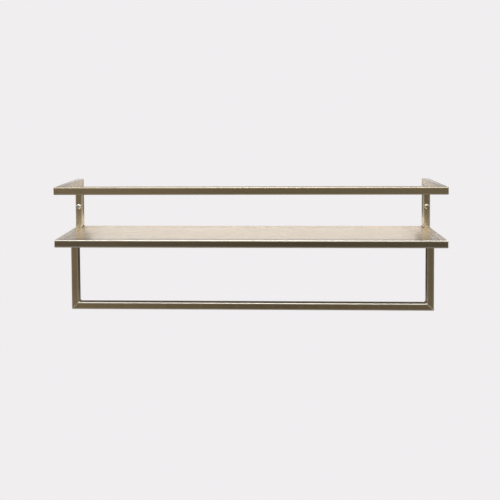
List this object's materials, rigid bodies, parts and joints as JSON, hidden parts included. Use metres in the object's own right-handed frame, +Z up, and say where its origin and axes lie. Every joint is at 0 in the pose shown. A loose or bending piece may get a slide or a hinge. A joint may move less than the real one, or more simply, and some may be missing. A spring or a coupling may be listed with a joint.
{
  "type": "towel rack with shelf",
  "caption": "Wall-hung towel rack of welded square tube: a shelf with a low gallery rail above and a towel bar hung below it.",
  "frame": {"origin": "on the wall plane, in the middle of the back face of the shelf frame's back bar", "axes": "+X along the wall to the right as seen from the room, +Y into the wall, +Z up"},
  "size_m": [0.62, 0.1377, 0.2215],
  "materials": {
    "brass_tube": "satin antique brass, brushed along the tube",
    "brass_sheet": "satin antique brass sheet",
    "wall_screw": "bright plated screw"
  },
  "bodies": {
    "root": {"gallery_front_rail": "brass_tube", "gallery_left_arm": "brass_tube", "gallery_right_arm": "brass_tube", "left_post": "brass_tube", "right_post": "brass_tube", "shelf_front_bar": "brass_tube", "shelf_back_bar": "brass_tube", "shelf_left_bar": "brass_tube", "shelf_right_bar": "brass_tube", "left_upright": "brass_tube", "right_upright": "brass_tube", "towel_bar": "brass_tube", "shelf_panel": "brass_sheet", "wall_screw_left": "wall_screw", "wall_screw_right": "wall_screw"}
  },
  "joints": []
}
